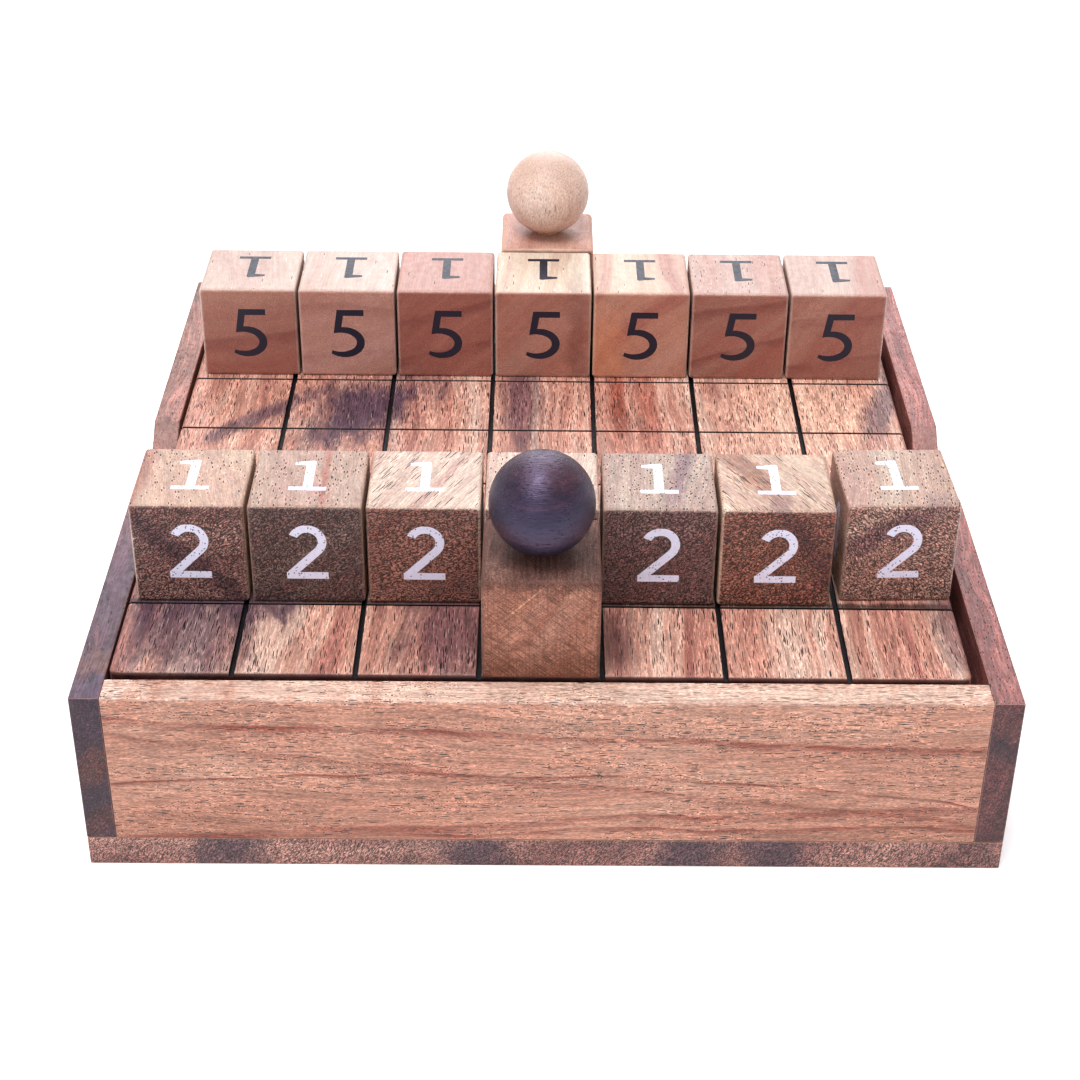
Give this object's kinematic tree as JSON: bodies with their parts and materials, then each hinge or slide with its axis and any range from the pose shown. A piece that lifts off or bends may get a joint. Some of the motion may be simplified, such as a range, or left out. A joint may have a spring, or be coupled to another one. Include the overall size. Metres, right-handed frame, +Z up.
{
  "type": "number cube board game",
  "caption": "Square wooden box with a grooved lift-out board lid, carrying two facing rows of number cubes and two ball-topped kings.",
  "frame": {"origin": "centre of the base board's underside", "axes": "+Z up, -Y towards the player of the dark pieces (the front), +X to that player's right"},
  "size_m": [0.201, 0.2, 0.0938],
  "materials": {
    "base_wood": "satin oiled end grain",
    "front_wall_wood": "satin oiled",
    "side_wall_wood": "satin oiled",
    "board_wood": "satin oiled",
    "dark_cube_wood": "matt oiled end grain",
    "light_cube_wood": "satin oiled",
    "dark_block_wood": "satin oiled",
    "light_block_wood": "satin oiled",
    "dark_ball_wood": "polished",
    "light_ball_wood": "satin",
    "white_ink": "matt printed ink",
    "black_ink": "satin printed ink",
    "groove_paint": "satin black paint"
  },
  "bodies": {
    "box": {"base_board": "base_wood", "front_wall": "front_wall_wood", "back_wall": "front_wall_wood", "left_wall": "side_wall_wood", "right_wall": "side_wall_wood", "front_ledge": "base_wood", "back_ledge": "base_wood"},
    "lid": {"board_lid": "board_wood"},
    "dark_cube_1": {"dark_cube_1": "dark_cube_wood", "dark_cube_1_numbers": "white_ink"},
    "dark_cube_2": {"dark_cube_2": "dark_cube_wood", "dark_cube_2_numbers": "white_ink"},
    "dark_cube_3": {"dark_cube_3": "dark_cube_wood", "dark_cube_3_numbers": "white_ink"},
    "dark_cube_4": {"dark_cube_4": "dark_cube_wood", "dark_cube_4_numbers": "white_ink"},
    "dark_cube_5": {"dark_cube_5": "dark_cube_wood", "dark_cube_5_numbers": "white_ink"},
    "dark_cube_6": {"dark_cube_6": "dark_cube_wood", "dark_cube_6_numbers": "white_ink"},
    "dark_cube_7": {"dark_cube_7": "dark_cube_wood", "dark_cube_7_numbers": "white_ink"},
    "light_cube_1": {"light_cube_1": "light_cube_wood", "light_cube_1_numbers": "black_ink"},
    "light_cube_2": {"light_cube_2": "light_cube_wood", "light_cube_2_numbers": "black_ink"},
    "light_cube_3": {"light_cube_3": "light_cube_wood", "light_cube_3_numbers": "black_ink"},
    "light_cube_4": {"light_cube_4": "light_cube_wood", "light_cube_4_numbers": "black_ink"},
    "light_cube_5": {"light_cube_5": "light_cube_wood", "light_cube_5_numbers": "black_ink"},
    "light_cube_6": {"light_cube_6": "light_cube_wood", "light_cube_6_numbers": "black_ink"},
    "light_cube_7": {"light_cube_7": "light_cube_wood", "light_cube_7_numbers": "black_ink"},
    "dark_king": {"dark_king_block": "dark_block_wood", "dark_king_ball": "dark_ball_wood", "dark_king_dowel": "light_ball_wood"},
    "light_king": {"light_king_block": "light_block_wood", "light_king_ball": "light_ball_wood", "light_king_dowel": "light_ball_wood"}
  },
  "joints": [
    {"name": "lid_lift", "type": "slide", "parent": "box", "child": "lid", "axis": [0, 0, 1], "range_m": [0, 0.06]},
    {"name": "dark_cube_1_lift", "type": "slide", "parent": "lid", "child": "dark_cube_1", "axis": [0, 0, 1], "range_m": [0, 0.06]},
    {"name": "dark_cube_2_lift", "type": "slide", "parent": "lid", "child": "dark_cube_2", "axis": [0, 0, 1], "range_m": [0, 0.06]},
    {"name": "dark_cube_3_lift", "type": "slide", "parent": "lid", "child": "dark_cube_3", "axis": [0, 0, 1], "range_m": [0, 0.06]},
    {"name": "dark_cube_4_lift", "type": "slide", "parent": "lid", "child": "dark_cube_4", "axis": [0, 0, 1], "range_m": [0, 0.06]},
    {"name": "dark_cube_5_lift", "type": "slide", "parent": "lid", "child": "dark_cube_5", "axis": [0, 0, 1], "range_m": [0, 0.06]},
    {"name": "dark_cube_6_lift", "type": "slide", "parent": "lid", "child": "dark_cube_6", "axis": [0, 0, 1], "range_m": [0, 0.06]},
    {"name": "dark_cube_7_lift", "type": "slide", "parent": "lid", "child": "dark_cube_7", "axis": [0, 0, 1], "range_m": [0, 0.06]},
    {"name": "light_cube_1_lift", "type": "slide", "parent": "lid", "child": "light_cube_1", "axis": [0, 0, 1], "range_m": [0, 0.06]},
    {"name": "light_cube_2_lift", "type": "slide", "parent": "lid", "child": "light_cube_2", "axis": [0, 0, 1], "range_m": [0, 0.06]},
    {"name": "light_cube_3_lift", "type": "slide", "parent": "lid", "child": "light_cube_3", "axis": [0, 0, 1], "range_m": [0, 0.06]},
    {"name": "light_cube_4_lift", "type": "slide", "parent": "lid", "child": "light_cube_4", "axis": [0, 0, 1], "range_m": [0, 0.06]},
    {"name": "light_cube_5_lift", "type": "slide", "parent": "lid", "child": "light_cube_5", "axis": [0, 0, 1], "range_m": [0, 0.06]},
    {"name": "light_cube_6_lift", "type": "slide", "parent": "lid", "child": "light_cube_6", "axis": [0, 0, 1], "range_m": [0, 0.06]},
    {"name": "light_cube_7_lift", "type": "slide", "parent": "lid", "child": "light_cube_7", "axis": [0, 0, 1], "range_m": [0, 0.06]},
    {"name": "dark_king_lift", "type": "slide", "parent": "lid", "child": "dark_king", "axis": [0, 0, 1], "range_m": [0, 0.06]},
    {"name": "light_king_lift", "type": "slide", "parent": "lid", "child": "light_king", "axis": [0, 0, 1], "range_m": [0, 0.06]}
  ]
}
